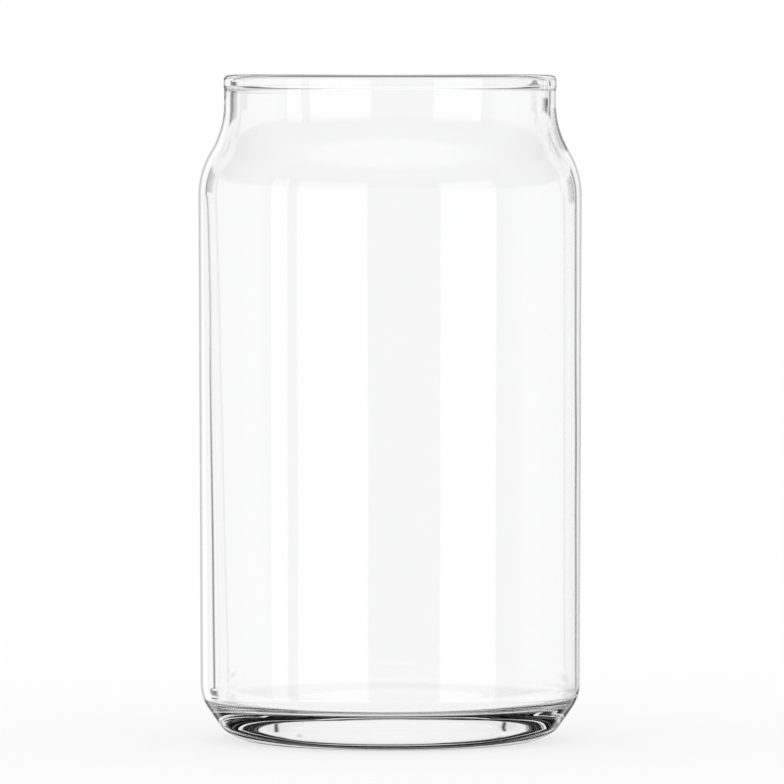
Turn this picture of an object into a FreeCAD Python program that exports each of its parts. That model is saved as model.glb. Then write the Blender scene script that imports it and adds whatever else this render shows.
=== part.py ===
import FreeCAD, Part
import math
import os

import Sketcher

# A clear drinking glass in the shape of a drinks can, blown in one piece: a straight body that
# steps in to a short neck with a beaded rim, a sloping heel and a thick base with a punt under it.
# Lengths are millimetres, angles degrees. The origin is the centre of the ring it stands on, +Z up.

# Driving dimensions: name, value, what it is
drivingDimensions = (
    ("overall_height", 133.0, "from the standing ring to the top of the rim"),
    ("body_radius", 38.4, "widest outside radius, at the foot of the shoulder"),
    ("body_taper", 0.35, "how much smaller the outside radius is where the heel starts"),
    ("shoulder_step", 5.2, "how far the shoulder comes in from body to neck"),
    ("shoulder_round", 17.2, "radius of both arcs of the shoulder's S curve"),
    ("neck_height", 6.0, "from the end of the shoulder to the top of the rim"),
    ("heel_width", 9.85, "from the side of the body in to the standing ring"),
    ("heel_slope", 34.3, "angle of the heel's straight flank from upright"),
    ("heel_round", 8.9, "radius where the body turns into the heel"),
    ("foot_round", 7.4, "radius where the heel turns under to the standing ring"),
    ("neck_wall", 1.95, "wall in the neck"),
    ("body_wall_top", 1.65, "wall at the top of the body, the thinnest place"),
    ("body_wall_low", 2.05, "wall just above the thick base"),
    ("floor_height", 7.8, "inside floor above the standing ring, beside the wall"),
    ("floor_rise", 2.2, "how much higher the inside floor is in the middle"),
    ("floor_corner", 2.0, "inside radius between wall and floor"),
    ("bead_proud_outside", 0.13, "how far the rim bead stands out of the neck"),
    ("bead_proud_inside", 0.33, "how far the rim bead stands into the mouth"),
    ("bead_height", 2.75, "from the middle of the blend under the rim bead to the top of the rim"),
    ("bead_blend", 1.0, "radius of the arcs that blend the rim bead into the neck"),
    ("ring_width", 1.6, "width of the flat ring that it stands on"),
    ("punt_round", 1.5, "radius between the standing ring and the punt"),
    ("punt_depth", 0.8, "how far the punt's dome rises above the standing ring"),
)

value = {name: number for name, number, meaning in drivingDimensions}

doc = FreeCAD.newDocument("can_glass")

sheet = doc.addObject("Spreadsheet::Sheet", "sizes")
for row, (name, number, meaning) in enumerate(drivingDimensions, start=1):
    sheet.set(f"A{row}", name)
    sheet.set(f"B{row}", str(number))
    sheet.set(f"C{row}", meaning)
    sheet.setAlias(f"B{row}", name)
doc.recompute()

glass = doc.addObject("PartDesign::Body", "glass")
glass.Label = "glass"
glass.Placement = FreeCAD.Placement()
uprightPlane = next(f for f in glass.Origin.OriginFeatures if f.Role == "XZ_Plane")

# A sketch numbers the places on its elements upwards, and its own two axes downwards from -1
places = ("edge", "start", "end", "centre")
start, end, centre = (places.index(name) for name in places[1:])
ownAxes = ("H_Axis", "V_Axis")
origin = (~ownAxes.index("H_Axis"), start)
uprightAxis = (~ownAxes.index("V_Axis"), start)


class Profile:
    # A closed outline in the upright half plane, x the radius and y the height. Its edges are drawn
    # where they belong, joined end to end, and held by constraints whose sizes come from the sheet.

    def __init__(self, name):
        self.sketch = glass.newObject("Sketcher::SketchObject", name)
        self.sketch.AttachmentSupport = [(uprightPlane, "")]
        self.sketch.MapMode = "FlatFace"

    def line(self, first, last):
        points = [FreeCAD.Vector(x, y, 0) for x, y in (first, last)]
        return self.sketch.addGeometry(Part.LineSegment(*points), False)

    def arc(self, middle, radius, fromAngle, toAngle):
        # Counter-clockwise between two angles in radians
        circle = Part.Circle(FreeCAD.Vector(*middle, 0), FreeCAD.Vector(0, 0, 1), radius)
        return self.sketch.addGeometry(Part.ArcOfCircle(circle, fromAngle, toAngle), False)

    def hold(self, *constraint):
        return self.sketch.addConstraint(Sketcher.Constraint(*constraint))

    def corner(self, *ends):
        self.hold("Coincident", *ends)

    def smooth(self, *ends):
        self.hold("Tangent", *ends)

    def size(self, cell, kind, *where):
        # A dimension that follows the sheet; the last item is its value as drawn
        index = self.hold(kind, *where)
        self.sketch.setExpression(f"Constraints[{index}]", cell)

    def place(self, element, point, xCell, x, yCell=None, y=None):
        self.size(xCell, "DistanceX", *origin, element, point, x)
        if yCell:
            self.size(yCell, "DistanceY", *origin, element, point, y)


def turned(kind, name, profile):
    # A full turn of the profile about the upright axis, added or cut
    feature = glass.newObject(kind, name)
    feature.Profile = profile.sketch
    feature.ReferenceAxis = (profile.sketch, ["V_Axis"])
    feature.Angle = 360
    return feature


def ringVolume(outer, inner, height):
    return math.pi * (outer ** 2 - inner ** 2) * height


def checkStep(feature, before, least, most):
    # The feature worked, and added or cut a volume between the two that its sizes allow
    doc.recompute()
    for item in doc.Objects:
        if "Invalid" in item.State or "Error" in item.State:
            raise RuntimeError(f"{item.Name} failed: {item.State}")
    change = feature.Shape.Volume - before
    if not least < change < most:
        raise RuntimeError(f"{feature.Name} changed the volume by {change:.0f}, not {least:.0f} to {most:.0f}")
    print(f"{feature.Name}: {change / 1000:+.1f} cm3")
    return feature.Shape.Volume


# Radii and levels that more than one outline uses, as numbers and as they are written in the sheet
neckRadius = value["body_radius"] - value["shoulder_step"]
neckRadiusCell = "(sizes.body_radius - sizes.shoulder_step)"
mouthRadius = neckRadius - value["neck_wall"]
mouthRadiusCell = f"({neckRadiusCell} - sizes.neck_wall)"
lowRadius = value["body_radius"] - value["body_taper"]
lowRadiusCell = "(sizes.body_radius - sizes.body_taper)"
ringRadius = lowRadius - value["heel_width"]
ringRadiusCell = f"({lowRadiusCell} - sizes.heel_width)"
puntRadius = ringRadius - value["ring_width"]
puntRadiusCell = f"({ringRadiusCell} - sizes.ring_width)"
beadRound = (value["bead_proud_outside"] + value["neck_wall"] + value["bead_proud_inside"]) / 2
beadRoundCell = "((sizes.bead_proud_outside + sizes.neck_wall + sizes.bead_proud_inside) / 2)"
beadLevel = value["overall_height"] - beadRound
beadLevelCell = f"(sizes.overall_height - {beadRoundCell})"
blendLevel = value["overall_height"] - value["bead_height"]
blendLevelCell = "(sizes.overall_height - sizes.bead_height)"
blendRise = math.sqrt(value["bead_proud_inside"] * (4 * value["bead_blend"] - value["bead_proud_inside"])) / 2
blendRiseCell = "sqrt(sizes.bead_proud_inside * (4 * sizes.bead_blend - sizes.bead_proud_inside)) / 2"
neckTop = blendLevel - blendRise
neckTopCell = f"({blendLevelCell} - {blendRiseCell})"

# The shoulder's two arcs: their centres' radii, and the levels of the centres outside
shoulderCentre = value["body_radius"] - value["shoulder_round"]
shoulderCentreCell = "(sizes.body_radius - sizes.shoulder_round)"
hollowCentre = neckRadius + value["shoulder_round"]
hollowCentreCell = f"({neckRadiusCell} + sizes.shoulder_round)"
hollowLevel = value["overall_height"] - value["neck_height"]
hollowLevelCell = "(sizes.overall_height - sizes.neck_height)"
shoulderRise = math.sqrt(value["shoulder_step"] * (4 * value["shoulder_round"] - value["shoulder_step"]))
shoulderRiseCell = "sqrt(sizes.shoulder_step * (4 * sizes.shoulder_round - sizes.shoulder_step))"
shoulderLevel = hollowLevel - shoulderRise
shoulderLevelCell = f"({hollowLevelCell} - {shoulderRiseCell})"

# Outside: standing ring, foot, heel flank, body, shoulder and neck, turned as a solid blank
slope = math.radians(value["heel_slope"])
footEnd = (ringRadius + value["foot_round"] * math.cos(slope), value["foot_round"] * (1 - math.sin(slope)))
flankRun = lowRadius - value["heel_round"] * (1 - math.cos(slope)) - footEnd[0]
flankEnd = (footEnd[0] + flankRun, footEnd[1] + flankRun / math.tan(slope))
heelLevel = flankEnd[1] + value["heel_round"] * math.sin(slope)
shoulderTurn = math.asin(shoulderRise / (2 * value["shoulder_round"]))

outside = Profile("outside_profile")
base = outside.line((0, 0), (ringRadius, 0))
foot = outside.arc((ringRadius, value["foot_round"]), value["foot_round"], -math.pi / 2, -slope)
flank = outside.line(footEnd, flankEnd)
heel = outside.arc((lowRadius - value["heel_round"], heelLevel), value["heel_round"], -slope, 0)
side = outside.line((lowRadius, heelLevel), (value["body_radius"], shoulderLevel))
shoulder = outside.arc((shoulderCentre, shoulderLevel), value["shoulder_round"], 0, shoulderTurn)
hollow = outside.arc((hollowCentre, hollowLevel), value["shoulder_round"], math.pi, math.pi + shoulderTurn)
neck = outside.line((neckRadius, hollowLevel), (neckRadius, neckTop))
top = outside.line((neckRadius, neckTop), (0, neckTop))
axis = outside.line((0, neckTop), (0, 0))

outside.smooth(base, end, foot, start)
outside.smooth(foot, end, flank, start)
outside.smooth(flank, end, heel, start)
outside.smooth(heel, end, side, start)
outside.smooth(side, end, shoulder, start)
outside.smooth(shoulder, end, hollow, end)
outside.smooth(hollow, start, neck, start)
outside.corner(neck, end, top, start)
outside.corner(top, end, axis, start)
outside.corner(axis, end, base, start)
outside.corner(base, start, *origin)
outside.hold("Horizontal", base)
outside.hold("Vertical", neck)
outside.hold("Horizontal", top)
outside.hold("Vertical", axis)
outside.hold("Equal", shoulder, hollow)
outside.place(base, end, ringRadiusCell, ringRadius)
outside.size("sizes.foot_round", "Radius", foot, value["foot_round"])
outside.size("sizes.heel_slope * 1 deg", "Angle", flank, start, *uprightAxis, slope)
outside.size("sizes.heel_round", "Radius", heel, value["heel_round"])
outside.place(side, start, lowRadiusCell, lowRadius)
outside.place(shoulder, centre, shoulderCentreCell, shoulderCentre)
outside.size("sizes.shoulder_round", "Radius", shoulder, value["shoulder_round"])
outside.place(hollow, centre, hollowCentreCell, hollowCentre, hollowLevelCell, hollowLevel)
outside.size(neckTopCell, "DistanceY", *origin, top, end, neckTop)

blank = turned("PartDesign::Revolution", "blank", outside)
blankLeast = ringVolume(ringRadius, 0, neckTop)
blankMost = ringVolume(value["body_radius"], 0, neckTop)
blankVolume = checkStep(blank, 0, blankLeast, blankMost)

# Inside: a floor that rises to the middle in an S curve, rounded corner, wall, and a shoulder whose
# arcs share the centres of the outside ones as far as the different walls of body and neck allow
innerLow = lowRadius - value["body_wall_low"]
innerLowCell = f"({lowRadiusCell} - sizes.body_wall_low)"
innerTop = value["body_radius"] - value["body_wall_top"]
innerShoulderRound = value["shoulder_round"] - value["body_wall_top"]
innerHollowRound = value["shoulder_round"] + value["neck_wall"]
innerTurn = math.acos((hollowCentre - shoulderCentre) / (innerShoulderRound + innerHollowRound))
innerHollowLevel = shoulderLevel + (innerShoulderRound + innerHollowRound) * math.sin(innerTurn)
cornerCentre = innerLow - value["floor_corner"]
cornerCentreCell = f"({innerLowCell} - sizes.floor_corner)"
cornerLevel = value["floor_height"] + value["floor_corner"]
cornerLevelCell = "(sizes.floor_height + sizes.floor_corner)"
riseTurn = 2 * math.atan(value["floor_rise"] / cornerCentre)
riseRound = cornerCentre / (2 * math.sin(riseTurn))
floorTop = value["floor_height"] + value["floor_rise"]
floorTopCell = "(sizes.floor_height + sizes.floor_rise)"
fromUp = math.pi / 2 - riseTurn

inside = Profile("inside_profile")
dome = inside.arc((0, floorTop - riseRound), riseRound, fromUp, math.pi / 2)
flare = inside.arc((cornerCentre, value["floor_height"] + riseRound), riseRound, fromUp - math.pi, -math.pi / 2)
corner = inside.arc((cornerCentre, cornerLevel), value["floor_corner"], -math.pi / 2, 0)
wall = inside.line((innerLow, cornerLevel), (innerTop, shoulderLevel))
innerShoulder = inside.arc((shoulderCentre, shoulderLevel), innerShoulderRound, 0, innerTurn)
innerHollow = inside.arc((hollowCentre, innerHollowLevel), innerHollowRound, math.pi, math.pi + innerTurn)
mouth = inside.line((mouthRadius, innerHollowLevel), (mouthRadius, value["overall_height"]))
mouthTop = inside.line((mouthRadius, value["overall_height"]), (0, value["overall_height"]))
insideAxis = inside.line((0, value["overall_height"]), (0, floorTop))

inside.smooth(dome, start, flare, start)
inside.smooth(flare, end, corner, start)
inside.smooth(corner, end, wall, start)
inside.smooth(wall, end, innerShoulder, start)
inside.smooth(innerShoulder, end, innerHollow, end)
inside.smooth(innerHollow, start, mouth, start)
inside.corner(mouth, end, mouthTop, start)
inside.corner(mouthTop, end, insideAxis, start)
inside.corner(insideAxis, end, dome, end)
inside.hold("Equal", dome, flare)
inside.hold("PointOnObject", dome, centre, uprightAxis[0])
inside.hold("Vertical", mouth)
inside.hold("Horizontal", mouthTop)
inside.hold("PointOnObject", insideAxis, start, uprightAxis[0])
inside.hold("PointOnObject", insideAxis, end, uprightAxis[0])
inside.size(floorTopCell, "DistanceY", *origin, dome, end, floorTop)
inside.size("sizes.floor_corner", "Radius", corner, value["floor_corner"])
inside.hold("Vertical", corner, start, corner, centre)
inside.place(corner, centre, cornerCentreCell, cornerCentre, cornerLevelCell, cornerLevel)
inside.place(innerShoulder, centre, shoulderCentreCell, shoulderCentre, shoulderLevelCell, shoulderLevel)
inside.size("sizes.shoulder_round - sizes.body_wall_top", "Radius", innerShoulder, innerShoulderRound)
inside.size("sizes.shoulder_round + sizes.neck_wall", "Radius", innerHollow, innerHollowRound)
inside.place(mouth, start, mouthRadiusCell, mouthRadius)
inside.size("sizes.overall_height", "DistanceY", *origin, mouthTop, end, value["overall_height"])

cavity = turned("PartDesign::Groove", "cavity", inside)
cavityMost = -ringVolume(value["body_radius"], 0, neckTop - value["floor_height"])
cavityLeast = -ringVolume(mouthRadius, 0, neckTop - floorTop)
cavityVolume = checkStep(cavity, blankVolume, cavityMost, cavityLeast)

# Rim: a round bead a little wider than the wall, blended into the neck by an S curve on both sides
beadCentre = neckRadius + value["bead_proud_outside"] - beadRound
beadCentreCell = f"({neckRadiusCell} + sizes.bead_proud_outside - {beadRoundCell})"
beadOuter = beadCentre + beadRound
beadInner = beadCentre - beadRound
blend = value["bead_blend"]
outerRise = math.sqrt(value["bead_proud_outside"] * (4 * blend - value["bead_proud_outside"])) / 2
outerTurn = math.asin(outerRise / blend)
innerBlendTurn = math.asin(blendRise / blend)

rim = Profile("rim_profile")
seat = rim.line((mouthRadius, neckTop), (neckRadius, neckTop))
outerPlain = rim.line((neckRadius, neckTop), (neckRadius, blendLevel - outerRise))
outerFlare = rim.arc((neckRadius + blend, blendLevel - outerRise), blend, math.pi - outerTurn, math.pi)
outerRound = rim.arc((beadOuter - blend, blendLevel + outerRise), blend, -outerTurn, 0)
outerSide = rim.line((beadOuter, blendLevel + outerRise), (beadOuter, beadLevel))
bead = rim.arc((beadCentre, beadLevel), beadRound, 0, math.pi)
innerSide = rim.line((beadInner, beadLevel), (beadInner, blendLevel + blendRise))
innerRound = rim.arc((beadInner + blend, blendLevel + blendRise), blend, math.pi, math.pi + innerBlendTurn)
innerFlare = rim.arc((mouthRadius - blend, neckTop), blend, 0, innerBlendTurn)

rim.corner(seat, end, outerPlain, start)
rim.smooth(outerPlain, end, outerFlare, end)
rim.smooth(outerFlare, start, outerRound, start)
rim.smooth(outerRound, end, outerSide, start)
rim.smooth(outerSide, end, bead, start)
rim.smooth(bead, end, innerSide, start)
rim.smooth(innerSide, end, innerRound, start)
rim.smooth(innerRound, end, innerFlare, end)
rim.hold("Perpendicular", innerFlare, start, seat, start)
rim.hold("Horizontal", seat)
for upright in (outerPlain, outerSide, innerSide):
    rim.hold("Vertical", upright)
for arc in (outerRound, innerRound, innerFlare):
    rim.hold("Equal", outerFlare, arc)
rim.place(seat, start, mouthRadiusCell, mouthRadius, neckTopCell, neckTop)
rim.place(seat, end, neckRadiusCell, neckRadius)
rim.place(bead, centre, beadCentreCell, beadCentre, beadLevelCell, beadLevel)
rim.size(beadRoundCell, "Radius", bead, beadRound)
rim.size("sizes.bead_blend", "Radius", outerFlare, blend)
rim.size(blendLevelCell, "DistanceY", *origin, outerFlare, start, blendLevel)

rimBead = turned("PartDesign::Revolution", "rim_bead", rim)
rimMost = ringVolume(beadOuter, beadInner, value["overall_height"] - neckTop)
rimVolume = checkStep(rimBead, cavityVolume, 0, rimMost)

# Punt: a shallow dome under the base, rounded off at the standing ring
puntRise = value["punt_round"] - value["punt_depth"]
domeRound = (puntRadius ** 2 + puntRise ** 2 - value["punt_round"] ** 2) / (2 * value["punt_depth"])
domeLevel = value["punt_depth"] - domeRound
domeTurn = math.acos((value["punt_round"] - domeLevel) / (domeRound + value["punt_round"]))

under = Profile("punt_profile")
underAxis = under.line((0, value["punt_depth"]), (0, 0))
opening = under.line((0, 0), (puntRadius, 0))
lip = under.arc((puntRadius, value["punt_round"]), value["punt_round"], -math.pi / 2 - domeTurn, -math.pi / 2)
roof = under.arc((0, domeLevel), domeRound, math.pi / 2 - domeTurn, math.pi / 2)

under.corner(underAxis, end, opening, start)
under.corner(opening, end, lip, end)
under.smooth(lip, start, roof, start)
under.corner(roof, end, underAxis, start)
under.corner(opening, start, *origin)
under.hold("Horizontal", opening)
under.hold("Vertical", underAxis)
under.hold("PointOnObject", roof, centre, uprightAxis[0])
under.place(opening, end, puntRadiusCell, puntRadius)
under.place(lip, centre, puntRadiusCell, puntRadius)
under.size("sizes.punt_round", "Radius", lip, value["punt_round"])
under.size("sizes.punt_depth", "DistanceY", *origin, roof, end, value["punt_depth"])

punt = turned("PartDesign::Groove", "punt", under)
checkStep(punt, rimVolume, -ringVolume(puntRadius, 0, value["punt_depth"]), 0)

# The finished solid is valid and whole before its file is written
shape = glass.Shape
if shape.isNull() or not shape.isValid() or len(shape.Solids) != 1:
    raise RuntimeError("the glass is not one valid solid")
box = shape.optimalBoundingBox(False)
print(f"glass: {shape.Volume / 1000:.1f} cm3, {box.XLength:.2f} x {box.YLength:.2f} x {box.ZLength:.2f} mm")

os.makedirs("parts", exist_ok=True)
shape.exportStep(f"parts/{glass.Label}.step")
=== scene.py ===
import math

import bpy
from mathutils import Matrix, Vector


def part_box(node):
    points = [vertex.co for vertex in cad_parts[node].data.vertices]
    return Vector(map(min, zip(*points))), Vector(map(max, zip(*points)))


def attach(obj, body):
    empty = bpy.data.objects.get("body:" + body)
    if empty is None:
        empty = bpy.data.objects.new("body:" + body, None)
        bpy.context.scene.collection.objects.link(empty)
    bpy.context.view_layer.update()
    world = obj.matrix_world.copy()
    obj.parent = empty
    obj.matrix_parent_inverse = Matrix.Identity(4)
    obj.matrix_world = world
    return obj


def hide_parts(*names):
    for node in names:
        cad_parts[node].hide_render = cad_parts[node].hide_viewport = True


# A clear can shaped glass on a pale floor. Metres throughout, +Z up, the glass stands on the origin.

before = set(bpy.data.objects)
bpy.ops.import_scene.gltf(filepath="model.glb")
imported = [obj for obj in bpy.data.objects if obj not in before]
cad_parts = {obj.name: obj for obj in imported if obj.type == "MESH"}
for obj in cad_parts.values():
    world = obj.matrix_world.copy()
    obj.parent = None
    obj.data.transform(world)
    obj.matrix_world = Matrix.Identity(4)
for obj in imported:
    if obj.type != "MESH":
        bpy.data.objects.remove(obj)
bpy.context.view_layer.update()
glassLow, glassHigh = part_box("glass")


class Link:
    # One output socket: sums written with it add Math nodes to its tree

    def __init__(self, tree, socket):
        self.tree = tree
        self.socket = socket

    def calc(self, operation, *terms):
        return self.tree.node("ShaderNodeMath", {"operation": operation}, dict(enumerate(terms)))

    def __add__(self, other):
        return self.calc("ADD", self, other)

    def __radd__(self, other):
        return self.calc("ADD", other, self)

    def __sub__(self, other):
        return self.calc("SUBTRACT", self, other)

    def __rsub__(self, other):
        return self.calc("SUBTRACT", other, self)

    def __mul__(self, other):
        return self.calc("MULTIPLY", self, other)

    def __rmul__(self, other):
        return self.calc("MULTIPLY", other, self)

    def __truediv__(self, other):
        return self.calc("DIVIDE", self, other)

    def __neg__(self):
        return self.calc("MULTIPLY", self, -1.0)

    def __mod__(self, other):
        return self.calc("FLOORED_MODULO", self, other)

    def __gt__(self, other):
        return self.calc("GREATER_THAN", self, other)

    def __lt__(self, other):
        return self.calc("LESS_THAN", self, other)


class Tree:
    # Builds one node tree: node() adds a node, sets its settings, then its sockets by name or number

    def __init__(self, nodeTree):
        self.nodeTree = nodeTree

    def node(self, kind, settings=None, sockets=None, out=0):
        made = self.nodeTree.nodes.new(kind)
        for name, setting in (settings or {}).items():
            setattr(made, name, setting)
        self.fill(made, sockets or {})
        return self.pick(made, out)

    def fill(self, made, sockets):
        for name, item in sockets.items():
            socket = made.inputs[name]
            if isinstance(item, Link):
                self.nodeTree.links.new(item.socket, socket)
            else:
                socket.default_value = item

    def pick(self, made, out):
        # A numbered output counts only those in use; an end node has none
        if isinstance(out, str):
            return Link(self, made.outputs[out])
        used = [socket for socket in made.outputs if socket.enabled]
        return Link(self, used[out]) if used else None

    def choose(self, dataType, index, items):
        # The item whose number is the index
        made = self.nodeTree.nodes.new("GeometryNodeIndexSwitch")
        made.data_type = dataType
        while len(made.index_switch_items) < len(items):
            made.index_switch_items.new()
        self.fill(made, {0: index, **{place + 1: item for place, item in enumerate(items)}})
        return self.pick(made, 0)


def root(x):
    return x.calc("SQRT", x)


def sine(x):
    return x.calc("SINE", x)


def cosine(x):
    return x.calc("COSINE", x)


def arcSine(x):
    return x.calc("ARCSINE", x)


def arcCosine(x):
    return x.calc("ARCCOSINE", x)


def upTo(t, number, limit, soft):
    # 1 below the limit, 0 above it, with a soft step between
    first, last = limit - soft / 2, limit + soft / 2
    sockets = {"Value": number, "From Min": first, "From Max": last, "To Min": 1.0, "To Max": 0.0}
    return t.node("ShaderNodeMapRange", {"interpolation_type": "SMOOTHSTEP"}, sockets)


def between(t, number, span, soft):
    # 1 within the span and 0 outside it, with soft steps
    first, last = span
    return upTo(t, number, last, soft) * (1 - upTo(t, number, first, soft))


# Glass: one wall turned about the upright axis, from the same sizes as the solid that it stands for
glass = {
    "Overall Height": glassHigh.z - glassLow.z,
    "Body Radius": glassHigh.x,
    "Body Taper": 0.00035,
    "Shoulder Step": 0.0052,
    "Shoulder Round": 0.0172,
    "Neck Height": 0.006,
    "Heel Width": 0.00985,
    "Heel Slope": math.radians(34.3),
    "Heel Round": 0.0089,
    "Foot Round": 0.0074,
    "Neck Wall": 0.00195,
    "Body Wall Top": 0.00165,
    "Body Wall Low": 0.00205,
    "Floor Height": 0.0078,
    "Floor Rise": 0.0022,
    "Floor Corner": 0.002,
    "Bead Proud Outside": 0.00013,
    "Bead Proud Inside": 0.00033,
    "Bead Height": 0.00275,
    "Bead Blend": 0.001,
    "Ring Width": 0.0016,
    "Punt Round": 0.0015,
    "Punt Depth": 0.0008,
    "Steps Per Arc": 16,
    "Steps Around": 288,
    "Longest Step": 0.0024,
    "Cavity Lean": 0.009,  # the inside stands a little askew, so the wall is thicker on one side
    "Lean Level": 0.114,
}


mergeDistance = 0.000002  # closes the seam and the two poles


def wallTree(sizes):
    group = bpy.data.node_groups.new("turned glass wall", "GeometryNodeTree")
    for name, size in sizes.items():
        kind = "NodeSocketInt" if isinstance(size, int) else "NodeSocketFloat"
        group.interface.new_socket(name=name, in_out="INPUT", socket_type=kind)
    group.interface.new_socket(name="Material", in_out="INPUT", socket_type="NodeSocketMaterial")
    group.interface.new_socket(name="Glass", in_out="OUTPUT", socket_type="NodeSocketGeometry")
    t = Tree(group)
    given = group.nodes.new("NodeGroupInput")

    def size(name):
        return Link(t, given.outputs[name])

    # Radii and levels
    body = size("Body Radius")
    neck = body - size("Shoulder Step")
    mouth = neck - size("Neck Wall")
    low = body - size("Body Taper")
    ring = low - size("Heel Width")
    puntEdge = ring - size("Ring Width")

    # Punt and lip
    puntRound = size("Punt Round")
    puntDepth = size("Punt Depth")
    domeRound = (puntEdge * puntEdge + puntDepth * puntDepth - 2 * puntDepth * puntRound) / (2 * puntDepth)
    domeTurn = arcSine(puntEdge / (domeRound + puntRound))

    # Foot, flank and heel
    slope = size("Heel Slope")
    footRound = size("Foot Round")
    heelRound = size("Heel Round")
    footX = ring + footRound * cosine(slope)
    heelX = low - heelRound
    flankX = heelX + heelRound * cosine(slope)
    flankRise = (flankX - footX) * cosine(slope) / sine(slope)
    heelZ = footRound * (1 - sine(slope)) + flankRise + heelRound * sine(slope)

    # Shoulder, outside and inside: the arcs of both share their centres' radii
    shoulderRound = size("Shoulder Round")
    step = size("Shoulder Step")
    shoulderX = body - shoulderRound
    hollowX = neck + shoulderRound
    hollowZ = size("Overall Height") - size("Neck Height")
    rise = root(step * (4 * shoulderRound - step))
    shoulderZ = hollowZ - rise
    turn = arcSine(rise / (2 * shoulderRound))
    innerShoulder = shoulderRound - size("Body Wall Top")
    innerHollow = shoulderRound + size("Neck Wall")
    innerTurn = arcCosine((hollowX - shoulderX) / (innerShoulder + innerHollow))
    innerHollowZ = shoulderZ + (innerShoulder + innerHollow) * sine(innerTurn)

    # Rim bead and the S curves that run into it
    proudOut = size("Bead Proud Outside")
    beadRound = (proudOut + size("Neck Wall") + size("Bead Proud Inside")) / 2
    beadX = neck + proudOut - beadRound
    beadZ = size("Overall Height") - beadRound
    beadFoot = size("Overall Height") - size("Bead Height")
    blend = size("Bead Blend")
    outTurn = arcCosine(1 - proudOut / (2 * blend))
    inTurn = arcCosine(1 - size("Bead Proud Inside") / (2 * blend))
    outRise = blend * sine(outTurn)
    inRise = blend * sine(inTurn)

    # Inside corner and floor
    corner = size("Floor Corner")
    floorZ = size("Floor Height")
    cornerX = low - size("Body Wall Low") - corner
    floorRise = size("Floor Rise")
    steepness = floorRise / cornerX
    riseTurn = 2 * steepness.calc("ARCTANGENT", steepness)
    riseRound = cornerX / (2 * sine(riseTurn))

    # Every arc in order along the wall: centre's radius and level, radius, first and last angle
    half = math.pi / 2
    arcs = (
        (0.0, puntDepth - domeRound, domeRound, half, half - domeTurn),
        (puntEdge, puntRound, puntRound, -half - domeTurn, -half),
        (ring, footRound, footRound, -half, -slope),
        (heelX, heelZ, heelRound, -slope, 0.0),
        (shoulderX, shoulderZ, shoulderRound, 0.0, turn),
        (hollowX, hollowZ, shoulderRound, math.pi + turn, math.pi),
        (neck + blend, beadFoot - outRise, blend, math.pi, math.pi - outTurn),
        (neck + proudOut - blend, beadFoot + outRise, blend, -outTurn, 0.0),
        (beadX, beadZ, beadRound, 0.0, half),
        (beadX, beadZ, beadRound, half, math.pi),
        (beadX - beadRound + blend, beadFoot + inRise, blend, math.pi, math.pi + inTurn),
        (mouth - blend, beadFoot - inRise, blend, inTurn, 0.0),
        (hollowX, innerHollowZ, innerHollow, math.pi, math.pi + innerTurn),
        (shoulderX, shoulderZ, innerShoulder, innerTurn, 0.0),
        (cornerX, floorZ + corner, corner, 0.0, -half),
        (cornerX, floorZ + riseRound, riseRound, -half, -half - riseTurn),
        (0.0, floorZ + floorRise - riseRound, riseRound, half - riseTurn, half),
    )
    firstInner = 9  # arcs from this one on face the inside

    # The profile: one point for every step of every arc, then the straight runs divided
    stepsPerArc = size("Steps Per Arc")
    line = t.node("GeometryNodeCurvePrimitiveLine")
    points = t.node(
        "GeometryNodeResampleCurve", {"mode": "COUNT"}, {"Curve": line, "Count": len(arcs) * stepsPerArc}
    )
    index = t.node("GeometryNodeInputIndex")
    along = (index % stepsPerArc) / (stepsPerArc - 1)
    number = index.calc("FLOOR", index / stepsPerArc)
    x, z, radius, first, last = (t.choose("FLOAT", number, items) for items in zip(*arcs))
    angle = first + (last - first) * along
    # the sweep puts the profile's Y downwards
    level = z + radius * sine(angle)
    place = t.node("ShaderNodeCombineXYZ", None, {"X": x + radius * cosine(angle) - body, "Y": -level})
    placed = t.node("GeometryNodeSetPosition", None, {"Geometry": points, "Position": place})
    inner = t.nodeTree.nodes.new("GeometryNodeCaptureAttribute")
    inner.capture_items.new("FLOAT", "inner")
    t.fill(inner, {"Geometry": placed, "inner": number > firstInner - 0.5})
    here = t.node("GeometryNodeInputPosition")
    after = t.node(
        "GeometryNodeFieldAtIndex", {"data_type": "FLOAT_VECTOR"}, {"Value": here, "Index": index + 1}
    )
    gap = t.node("ShaderNodeVectorMath", {"operation": "DISTANCE"}, {0: here, 1: after}, out="Value")
    profile = t.node(
        "GeometryNodeSubdivideCurve",
        None,
        {"Curve": t.pick(inner, "Geometry"), "Cuts": gap.calc("FLOOR", gap / size("Longest Step"))},
    )

    # Turned about the axis
    around = {"Resolution": size("Steps Around"), "Radius": body}
    circle = t.node("GeometryNodeCurvePrimitiveCircle", None, around)
    upright = t.node("GeometryNodeSetCurveNormal", {"mode": "Z_UP"}, {"Curve": circle})
    turned = t.node("GeometryNodeCurveToMesh", None, {"Curve": upright, "Profile Curve": profile})
    merged = t.node("GeometryNodeMergeByDistance", None, {"Geometry": turned, "Distance": mergeDistance})
    outwards = t.node("GeometryNodeFlipFaces", None, {"Mesh": merged})

    # The inside leans from the level where it is centred; the lean fades out over the rim bead
    height = t.node("ShaderNodeSeparateXYZ", None, {0: t.node("GeometryNodeInputPosition")}, out="Z")
    beadHeight = size("Bead Height")
    share = t.pick(inner, "inner") * upTo(t, height, size("Overall Height") - beadHeight, beadHeight * 2)
    shift = size("Cavity Lean") * (size("Lean Level") - height) * share
    aside = t.node("ShaderNodeCombineXYZ", None, {"X": shift})
    leaning = t.node("GeometryNodeSetPosition", None, {"Geometry": outwards, "Offset": aside})

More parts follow.
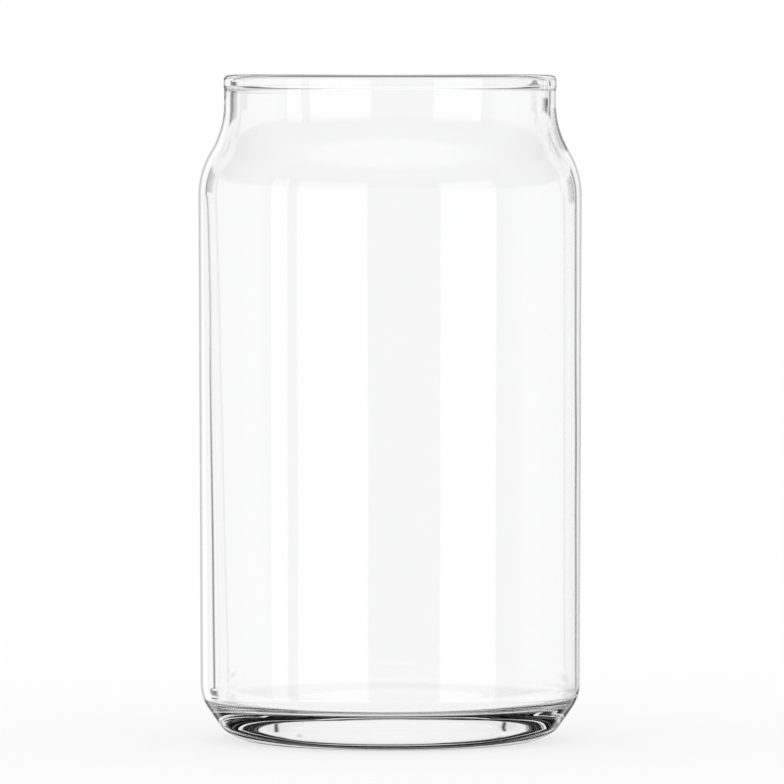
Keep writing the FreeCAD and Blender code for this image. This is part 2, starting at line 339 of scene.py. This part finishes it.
    smooth = t.node("GeometryNodeSetShadeSmooth", None, {"Geometry": leaning})
    real = t.node("GeometryNodeRealizeInstances", None, {"Geometry": smooth})
    dressed = t.node("GeometryNodeSetMaterial", None, {"Geometry": real, "Material": size("Material")})
    result = group.nodes.new("NodeGroupOutput")
    t.fill(result, {"Glass": dressed})
    return group


def plainMesh(name, group, inputs, material):
    # Runs the tree once on an empty mesh and keeps the result as an ordinary mesh object
    holder = bpy.data.objects.new(name + "_tree", bpy.data.meshes.new(name + "_tree"))
    bpy.context.collection.objects.link(holder)
    modifier = holder.modifiers.new("turn", "NODES")
    modifier.node_group = group
    byName = {item.name: item.identifier for item in group.interface.items_tree if item.in_out == "INPUT"}
    for label, number in inputs.items():
        modifier[byName[label]] = number
    modifier[byName["Material"]] = material
    depsgraph = bpy.context.evaluated_depsgraph_get()
    mesh = bpy.data.meshes.new_from_object(holder.evaluated_get(depsgraph), depsgraph=depsgraph)
    mesh.name = name
    bpy.data.objects.remove(holder)
    made = bpy.data.objects.new(name, mesh)
    bpy.context.collection.objects.link(made)
    return made


# Clear glass, fire-polished: hardly any tint, soft unevenness from the mould and a worn standing ring
glassLook = {
    "index of refraction": 1.52,
    "clear": (1.0, 1.0, 1.0, 1.0),
    "tint": (0.994, 0.998, 0.997, 1.0),
    "tint scale": 60.0,
    "wave scale": (90.0, 90.0, 45.0),
    "wave height": 0.00003,
    "wear height": 0.0007,
    "wear from": 0.0262,
    "wear to": 0.0290,
    "wear scale": 2600.0,
    "wear roughness": 0.22,
    "wear edge": 0.0004,
}


def clearGlass(sizes):
    material = bpy.data.materials.new("clear glass")
    material.use_nodes = True
    material.node_tree.nodes.clear()
    t = Tree(material.node_tree)
    place = t.node("ShaderNodeTexCoord", out="Object")
    parts = t.nodeTree.nodes.new("ShaderNodeSeparateXYZ")
    t.fill(parts, {0: place})
    x, y, z = (t.pick(parts, axis) for axis in "XYZ")

    # Tint: the melt is never quite the same all through
    melt = t.node("ShaderNodeTexNoise", None, {"Vector": place, "Scale": sizes["tint scale"], "Detail": 2.0})
    colour = t.node(
        "ShaderNodeMix", {"data_type": "RGBA"}, {"Factor": melt, "A": sizes["clear"], "B": sizes["tint"]}
    )

    # Waves: broad and very low, as a mould leaves them
    stretched = t.node("ShaderNodeVectorMath", {"operation": "MULTIPLY"}, {0: place, 1: sizes["wave scale"]})
    waves = t.node("ShaderNodeTexNoise", None, {"Vector": stretched, "Scale": 1.0, "Detail": 0.0})
    bump = t.node("ShaderNodeBump", None, {"Strength": 1.0, "Distance": sizes["wave height"], "Height": waves})

    # Wear: the flat ring that the glass stands on is finely scratched
    radius = root(x * x + y * y)
    onRing = upTo(t, sizes["wear from"] - radius, 0.0, sizes["wear edge"])
    onRing = onRing * upTo(t, radius, sizes["wear to"], sizes["wear edge"])
    onRing = onRing * upTo(t, z, sizes["wear height"], sizes["wear edge"])
    fine = {"Vector": place, "Scale": sizes["wear scale"], "Detail": 3.0}
    scratches = t.node("ShaderNodeTexNoise", None, fine)
    roughness = onRing * scratches * sizes["wear roughness"]

    shader = t.node(
        "ShaderNodeBsdfPrincipled",
        None,
        {
            "Base Color": colour,
            "Roughness": roughness,
            "Normal": bump,
            "IOR": sizes["index of refraction"],
            "Transmission Weight": 1.0,
        },
    )
    t.node("ShaderNodeOutputMaterial", None, {"Surface": shader})
    return material


glassPiece = plainMesh("glass_wall", wallTree(glass), glass, clearGlass(glassLook))
print("glass:", len(glassPiece.data.vertices), "points,", len(glassPiece.data.polygons), "faces")
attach(glassPiece, "root")
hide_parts("glass")

# Camera: at rim level, well back, as a long lens sees it
camera = {
    "distance": 1.593,
    "height": 0.128,
    "aside": 0.00038,  # the glass stands a little left of the middle of the picture
    "tiltDown": 0.03666,
    "lens": 366.0,
    "sensor": 36.0,
}


def makeCamera(sizes):
    lens = bpy.data.cameras.new("camera")
    lens.lens = sizes["lens"]
    lens.sensor_width = sizes["sensor"]
    lens.clip_start = 0.05
    lens.clip_end = 50.0
    eye = bpy.data.objects.new("camera", lens)
    eye.location = (sizes["aside"], -sizes["distance"], sizes["height"])
    eye.rotation_euler = (math.pi / 2 - sizes["tiltDown"], 0.0, 0.0)
    bpy.context.collection.objects.link(eye)
    bpy.context.scene.camera = eye


makeCamera(camera)
print("camera: in place")

# Studio as the glass shows it, by direction in degrees: azimuth from straight behind, elevation.
# A lit panel stands behind with a dark gap at each side of it, the rest of the room is dimmer,
# and softboxes stand on both sides in front. How often the wall has turned a ray decides what it finds.
studio = {
    "edge": 2.0,  # how soft an edge is
    "sharp edge": 0.5,
    "panel left": 28.0,
    "panel left lower": 33.7,  # its left edge leans outwards, down to this elevation
    "panel leans": (-1.1, -3.3),
    "panel right": 24.0,
    "gap left": 3.5,
    "gap right": 5.0,
    "gap top": 9.0,
    "gap glow": 0.1,
    "flags": (31.0, 42.0),  # dark, seen after one turn
    "flags upright": (0.0, 8.5),
    "slits": (32.6, 34.2),
    "slits upright": (16.0, 24.0),
    "flags glow": 0.02,
    "upper room": 0.9,
    "floor from": -10.0,
    "floor beside": 0.3,
    "front from": 95.0,
    "front": 0.6,
    "dark from": 18.5,  # dark ceiling, seen after more turns
    "dark behind from": 58.0,
    "dark glow": 0.012,
    "window half width": 6.5,  # what is bright above the panel, seen straight through
    "window foot": 9.0,
    "window top": 60.0,
    "strip half width": 26.0,  # dimmer floor behind, seen straight through
    "strip": (-50.0, -20.0),
    "strip glow": 0.3,
    "mirrored": 0.5,  # the room as the outside mirrors it
    "mirrored sides": 0.62,
    "sides from": 60.0,
    "ring level": -3.0,  # a darker ring round the panel draws the outline
    "ring": (11.0, 22.0),
    "ring glow": 0.25,
    "softboxes": ((-166.8, -122.8), (-115.9, -104.1), (113.6, 149.8)),
    "softbox edge": 1.0,
    "softbox top": 19.0,
    "softbox top edge": 6.0,
    "softbox glow": 2.0,
    "mirrored floor from": -20.0,
    "mirrored floor": 0.03,
}


def dimmed(light, share, glow):
    # The light falls to the glow where the share is 1
    return light * (1 - share * (1 - glow))


def makeWorld(sizes):
    world = bpy.data.worlds.new("studio")
    bpy.context.scene.world = world
    world.use_nodes = True
    world.node_tree.nodes.clear()
    t = Tree(world.node_tree)
    direction = t.node("ShaderNodeTexCoord", out="Generated")
    x, y, z = (t.node("ShaderNodeSeparateXYZ", None, {0: direction}, out=axis) for axis in "XYZ")
    azimuth = x.calc("ARCTAN2", x, y) * (180 / math.pi)
    elevation = arcSine(z) * (180 / math.pi)
    away = azimuth.calc("ABSOLUTE", azimuth)
    edge = sizes["edge"]

    # The lit panel's edges and the gaps beyond them
    leanFrom, leanTo = sizes["panel leans"]
    slanted = t.node(
        "ShaderNodeMapRange",
        None,
        {
            "Value": elevation,
            "From Min": leanFrom,
            "From Max": leanTo,
            "To Min": sizes["panel left"],
            "To Max": sizes["panel left lower"],
        },
    )
    onLeft = azimuth < 0.0
    panelEdge = onLeft * slanted + (1 - onLeft) * sizes["panel right"]
    gapWidth = onLeft * sizes["gap left"] + (1 - onLeft) * sizes["gap right"]
    aboveFloor = 1 - upTo(t, elevation, sizes["floor from"], 2 * edge)
    gap = between(t, away, (panelEdge, panelEdge + gapWidth), edge)
    gap = gap * upTo(t, elevation, sizes["gap top"], edge) * aboveFloor

    # Turned once inside the glass: an even room with a flag and a slit at each side of the panel
    flagsFrom, flagsTo = sizes["flags"]
    flagsFoot, flagsTop = sizes["flags upright"]
    middle = upTo(t, away, flagsFrom, edge)
    flags = (1 - middle) * upTo(t, away, flagsTo, 2 * edge)
    flags = flags * (1 - upTo(t, elevation, flagsFoot, sizes["sharp edge"]))
    flags = flags * upTo(t, elevation, flagsTop, edge)
    slits = between(t, away, sizes["slits"], edge) * between(t, elevation, sizes["slits upright"], edge)
    once = dimmed(1.0, gap, sizes["gap glow"])
    once = dimmed(once, 1 - upTo(t, away, sizes["front from"], 10 * edge), sizes["front"])
    once = dimmed(once, (1 - aboveFloor) * (1 - middle), sizes["floor beside"])
    upper = 1 - upTo(t, elevation, sizes["slits upright"][1], 2 * edge)
    once = once * (1 - upper) + upper * sizes["upper room"]
    once = dimmed(once, flags + slits, sizes["flags glow"])

    # Turned more often: dark above, but for what is straight behind
    highBehind = middle * upTo(t, elevation, sizes["dark behind from"], 4 * edge)
    dark = (1 - upTo(t, elevation, sizes["dark from"], 2 * edge)) * (1 - highBehind)
    often = once * (1 - dark) + dark * sizes["dark glow"]

    # Only bent by the glass: all low directions are clear, but for the gaps and a strip of floor behind
    stripFoot, stripTop = sizes["strip"]
    strip = upTo(t, away, sizes["strip half width"], 5 * edge) * upTo(t, elevation, stripTop, 2 * edge)
    strip = strip * (1 - upTo(t, elevation, stripFoot, 3 * edge))
    window = upTo(t, away, sizes["window half width"], 1.5 * edge)
    window = window * upTo(t, elevation, sizes["window top"], edge)
    high = 1 - upTo(t, elevation, sizes["window foot"], 0.5 * edge)
    through = dimmed(1.0, gap, sizes["gap glow"])
    through = dimmed(through, strip, sizes["strip glow"])
    through = dimmed(through, high * (1 - window), sizes["dark glow"])

    # On the glass: an even room, the panel with a ring that draws the outline, and the softboxes
    beside = upTo(t, away, sizes["sides from"], 20 * edge)
    even = sizes["mirrored"] + (sizes["mirrored sides"] - sizes["mirrored"]) * beside
    panel = upTo(t, away, panelEdge, edge)
    mirrored = panel + (1 - panel) * even
    rise = elevation - sizes["ring level"]
    ring = between(t, root(away * away + rise * rise), sizes["ring"], 3 * edge)
    mirrored = dimmed(mirrored, ring, sizes["ring glow"])
    lit = 0.0
    for span in sizes["softboxes"]:
        lit = between(t, azimuth, span, sizes["softbox edge"]) + lit
    lit = lit * upTo(t, elevation, sizes["softbox top"], sizes["softbox top edge"])
    mirrored = mirrored * (1 - lit) + lit * sizes["softbox glow"]
    under = upTo(t, elevation, sizes["mirrored floor from"], 3 * edge)
    mirrored = mirrored * (1 - under) + under * sizes["mirrored floor"]

    # Only rays that have met the glass see the studio, all others see plain white
    path = t.nodeTree.nodes.new("ShaderNodeLightPath")
    seen = t.pick(path, "Is Camera Ray")
    plain = seen.calc("MAXIMUM", seen, t.pick(path, "Is Diffuse Ray"))
    bent = t.pick(path, "Is Transmission Ray")
    turns = t.pick(path, "Glossy Depth")
    inside = (turns > 0.5) * ((turns > 1.5) * often + (turns < 1.5) * once) + (turns < 0.5) * through
    strength = plain + (1 - plain) * (bent * inside + (1 - bent) * mirrored)
    shader = t.node("ShaderNodeBackground", None, {"Color": (1.0, 1.0, 1.0, 1.0), "Strength": strength})
    t.node("ShaderNodeOutputWorld", None, {"Surface": shader})


makeWorld(studio)

# Floor: pale. The glass shows only the part beside it, which is brightest close by.
floor = {
    "half width": 4.0,
    "colour": (0.9, 0.9, 0.9, 1.0),
    "shadow": 0.3,  # how much of the object's shadow the camera sees
    "lift": 1.05,
    "bright radius": 0.08,
    "bright edge": 0.06,
    "glow": 0.95,
}


def makeFloor(sizes):
    half = sizes["half width"]
    mesh = bpy.data.meshes.new("floor")
    corners = [(-half, -half, 0), (half, -half, 0), (half, half, 0), (-half, half, 0)]
    mesh.from_pydata(corners, [], [(0, 1, 2, 3)])
    plane = bpy.data.objects.new("floor", mesh)
    bpy.context.collection.objects.link(plane)
    material = bpy.data.materials.new("pale floor")
    material.use_nodes = True
    material.node_tree.nodes.clear()
    t = Tree(material.node_tree)
    matt = t.node("ShaderNodeBsdfDiffuse", None, {"Color": sizes["colour"]})
    white = t.node("ShaderNodeEmission", None, {"Color": (1.0, 1.0, 1.0, 1.0), "Strength": sizes["lift"]})
    seen = t.node("ShaderNodeMixShader", None, {0: 1 - sizes["shadow"], 1: matt, 2: white})
    here = t.node("ShaderNodeTexCoord", out="Object")
    distance = t.node("ShaderNodeVectorMath", {"operation": "LENGTH"}, {0: here}, out="Value")
    lit = t.node("ShaderNodeEmission", None, {"Color": (1.0, 1.0, 1.0, 1.0), "Strength": sizes["glow"]})
    clear = t.node("ShaderNodeBsdfTransparent")
    near = upTo(t, distance, sizes["bright radius"], sizes["bright edge"])
    lit = t.node("ShaderNodeMixShader", None, {0: near, 1: clear, 2: lit})
    path = t.nodeTree.nodes.new("ShaderNodeLightPath")
    through = t.node("ShaderNodeMixShader", None, {0: t.pick(path, "Is Transmission Ray"), 1: matt, 2: lit})
    shown = t.node("ShaderNodeMixShader", None, {0: t.pick(path, "Is Camera Ray"), 1: through, 2: seen})
    t.node("ShaderNodeOutputMaterial", None, {"Surface": shown})
    plane.data.materials.append(material)
    plane.visible_glossy = False


makeFloor(floor)
print("studio: lit")

bpy.context.scene.view_settings.view_transform = "Standard"

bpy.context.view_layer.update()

# Light runs many times to and fro inside a glass wall
bounces = {"max_bounces": 32, "glossy_bounces": 24, "transmission_bounces": 24}
for setting, count in bounces.items():
    setattr(bpy.context.scene.cycles, setting, count)
